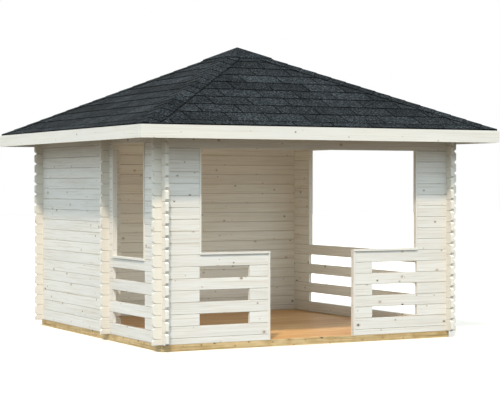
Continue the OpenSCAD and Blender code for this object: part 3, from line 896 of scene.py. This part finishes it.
def side_screw_points():
    """Screws through the jambs and sills of the side openings."""
    jamb_low, jamb_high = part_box("side_jambs")
    sill_low, sill_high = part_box("side_sills")
    window_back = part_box("left_rear_wall")[0].y
    points = []
    for side, back in ((-1, window_back), (1, jamb_high.y)):
        x = side * (jamb_high.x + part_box("right_front_pier")[0].x - JAMB_PROUD) / 2
        for y, way in ((jamb_low.y + JAMB_THICKNESS, 1), (back - JAMB_THICKNESS, -1)):
            for z in spaced(jamb_low.z + SCREW_INSET, jamb_high.z - SCREW_INSET, 3):
                points.append(((x, y, z), (0, way, 0)))
        for y in spaced(sill_low.y + SILL_INSET, back - SILL_INSET, 3):
            points.append(((x, y, sill_high.z), (0, 0, 1)))
    return points


class GAZEBO_OT_screws(Operator):
    """Sets screw heads in the boards round the openings"""

    bl_idname = "gazebo.screws"
    bl_label = "Screws"

    def execute(self, context):
        sizes, colours = context.scene.gazebo_sizes, context.scene.gazebo_colours
        points = screw_points()
        mesh = bpy.data.meshes.new("screw_points")
        mesh.from_pydata([place for place, way in points], [], [])
        facing = mesh.attributes.new("facing", "FLOAT_VECTOR", "POINT")
        for entry, (place, way) in zip(facing.data, points):
            entry.vector = way
        head_height = 0.0012
        piece = grow("screw_heads", mesh, "screw_heads", {
            "Diameter": sizes.screw_head, "Height": head_height,
            "Material": zinc_plate("zinc_plated_steel", colours)})
        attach(piece, "root")
        return {"FINISHED"}


def seen_directly(tree):
    """1 for what the camera sees, straight, through glass or in a mirror, and 0 for how it lights others."""
    rays = add(tree, "ShaderNodeLightPath").outputs
    through = add(tree, MATH, {0: rays["Is Camera Ray"], 1: rays["Is Transmission Ray"]}, operation="MAXIMUM")
    return add(tree, MATH, {0: through, 1: rays["Is Glossy Ray"]}, operation="MAXIMUM")


class GAZEBO_OT_stage(Operator):
    """Sets up the pale floor, the light and the camera"""

    bl_idname = "gazebo.stage"
    bl_label = "Stage"

    def execute(self, context):
        colours = context.scene.gazebo_colours
        self.floor(colours)
        self.sky()
        self.fill()
        self.sun()
        self.camera(context.scene)
        context.scene.view_settings.view_transform = "Standard"
        return {"FINISHED"}

    def floor(self, colours):
        """A pale floor that the eye sees white, and that throws back as little light as a lawn does."""
        half = 60.0
        corners = [(x * half, y * half, 0) for x, y in ((-1, -1), (1, -1), (1, 1), (-1, 1))]
        mesh = bpy.data.meshes.new("ground")
        mesh.from_pydata(corners, [], [(0, 1, 2, 3)])
        ground = new_object("ground", mesh)
        material, tree, bsdf = new_material("pale_floor")
        as_dark_as_grass, as_seen = colour4(linear("#3E3C35")), colour4(colours.ground)
        colour = add(tree, MIX, {"Factor": seen_directly(tree), "A": as_dark_as_grass, "B": as_seen},
                     data_type="RGBA")
        wire(tree, bsdf, {"Base Color": colour, "Roughness": 0.9})
        mesh.materials.append(material)

    def sky(self):
        """A soft sky, brightest a third of the way up, and white where the camera looks straight at it."""
        world = bpy.data.worlds.new("studio")
        bpy.context.scene.world = world
        world.use_nodes = True
        tree = world.node_tree
        tree.nodes.clear()
        way = add(tree, "ShaderNodeTexCoord")
        height = add(tree, SPLIT, {0: way.outputs["Generated"]}).outputs[2]
        ramp = add(tree, "ShaderNodeValToRGB", {"Fac": height})
        horizon, zenith = (0.28, 0.29, 0.27), (0.42, 0.50, 0.56)
        between = {0.12: (0.32, 0.36, 0.36), 0.3: (0.76, 0.91, 1.0), 0.6: (0.75, 0.89, 1.0)}
        ramp.color_ramp.elements[0].color = colour4(horizon)
        ramp.color_ramp.elements[1].color = colour4(zenith)
        for position, colour in between.items():
            ramp.color_ramp.elements.new(position).color = colour4(colour)
        light = add(tree, "ShaderNodeBackground", {"Color": ramp, "Strength": 2.0})
        white = add(tree, "ShaderNodeBackground", {"Color": (1.0, 1.0, 1.0, 1.0), "Strength": 1.0})
        mixed = add(tree, "ShaderNodeMixShader", {0: seen_directly(tree), 1: light, 2: white})
        add(tree, "ShaderNodeOutputWorld", {0: mixed})

    def fill(self):
        """A soft lamp that faces up from the floor, for the light that a sunlit floor throws back."""
        above_floor = 0.05
        lamp = bpy.data.lights.new("fill", "AREA")
        lamp.shape = "SQUARE"
        lamp.size = 2.4
        lamp.energy = 14.5
        lamp.color = (0.93, 1.0, 0.93)
        fill = new_object("fill", lamp)
        fill.location = (0.0, 0.0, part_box("floor")[1].z + above_floor)
        fill.rotation_euler = (math.pi, 0.0, 0.0)
        fill.visible_camera = False
        fill.visible_glossy = False

    def sun(self):
        """A low, slightly soft sun from the front left."""
        lamp = bpy.data.lights.new("sun", "SUN")
        lamp.energy = 2.5
        lamp.angle = math.radians(4.0)
        lamp.color = (1.0, 0.86, 0.71)
        sun = new_object("sun", lamp)
        travel = Vector((0.472, 0.65, -1.0))
        sun.rotation_euler = travel.to_track_quat("-Z", "Y").to_euler()

    def camera(self, scene):
        """A long lens at eye height, from the front left."""
        lens = bpy.data.cameras.new("camera")
        lens.lens = 113.5
        lens.sensor_width = 36.0
        lens.clip_end = 300.0
        camera = new_object("camera", lens)
        camera.location = (-7.84, -15.345, 1.598)
        downward, to_the_right = 0.557, 27.53
        camera.rotation_euler = (math.radians(90 - downward), 0.0, math.radians(-to_the_right))
        scene.camera = camera


PIECE_OPERATORS = (
    GAZEBO_OT_log_walls, GAZEBO_OT_trim, GAZEBO_OT_base, GAZEBO_OT_floor, GAZEBO_OT_roof_frame,
    GAZEBO_OT_roof_boards, GAZEBO_OT_shingles, GAZEBO_OT_hip_caps, GAZEBO_OT_screws, GAZEBO_OT_stage,
)


class GAZEBO_PT_pieces(Panel):
    """Lists the groups of pieces in the sidebar."""

    bl_label = "Gazebo"
    bl_idname = "GAZEBO_PT_pieces"
    bl_space_type = "VIEW_3D"
    bl_region_type = "UI"
    bl_category = "Gazebo"

    def draw(self, context):
        for operator in PIECE_OPERATORS:
            self.layout.operator(operator.bl_idname)


CLASSES = (GazeboSizes, GazeboColours, *PIECE_OPERATORS, GAZEBO_PT_pieces)


def register():
    """Registers the classes and adds their settings to the scene."""
    for item in CLASSES:
        bpy.utils.register_class(item)
    bpy.types.Scene.gazebo_sizes = bpy.props.PointerProperty(type=GazeboSizes)
    bpy.types.Scene.gazebo_colours = bpy.props.PointerProperty(type=GazeboColours)


def unregister():
    """Takes the settings and the classes out again."""
    del bpy.types.Scene.gazebo_colours
    del bpy.types.Scene.gazebo_sizes
    for item in reversed(CLASSES):
        bpy.utils.unregister_class(item)


def main():
    """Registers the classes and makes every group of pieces."""
    register()
    for operator in PIECE_OPERATORS:
        group, call = operator.bl_idname.split(".")
        if getattr(getattr(bpy.ops, group), call)() != {"FINISHED"}:
            raise RuntimeError(operator.bl_label + " could not be made")


if __name__ == "__main__":
    main()
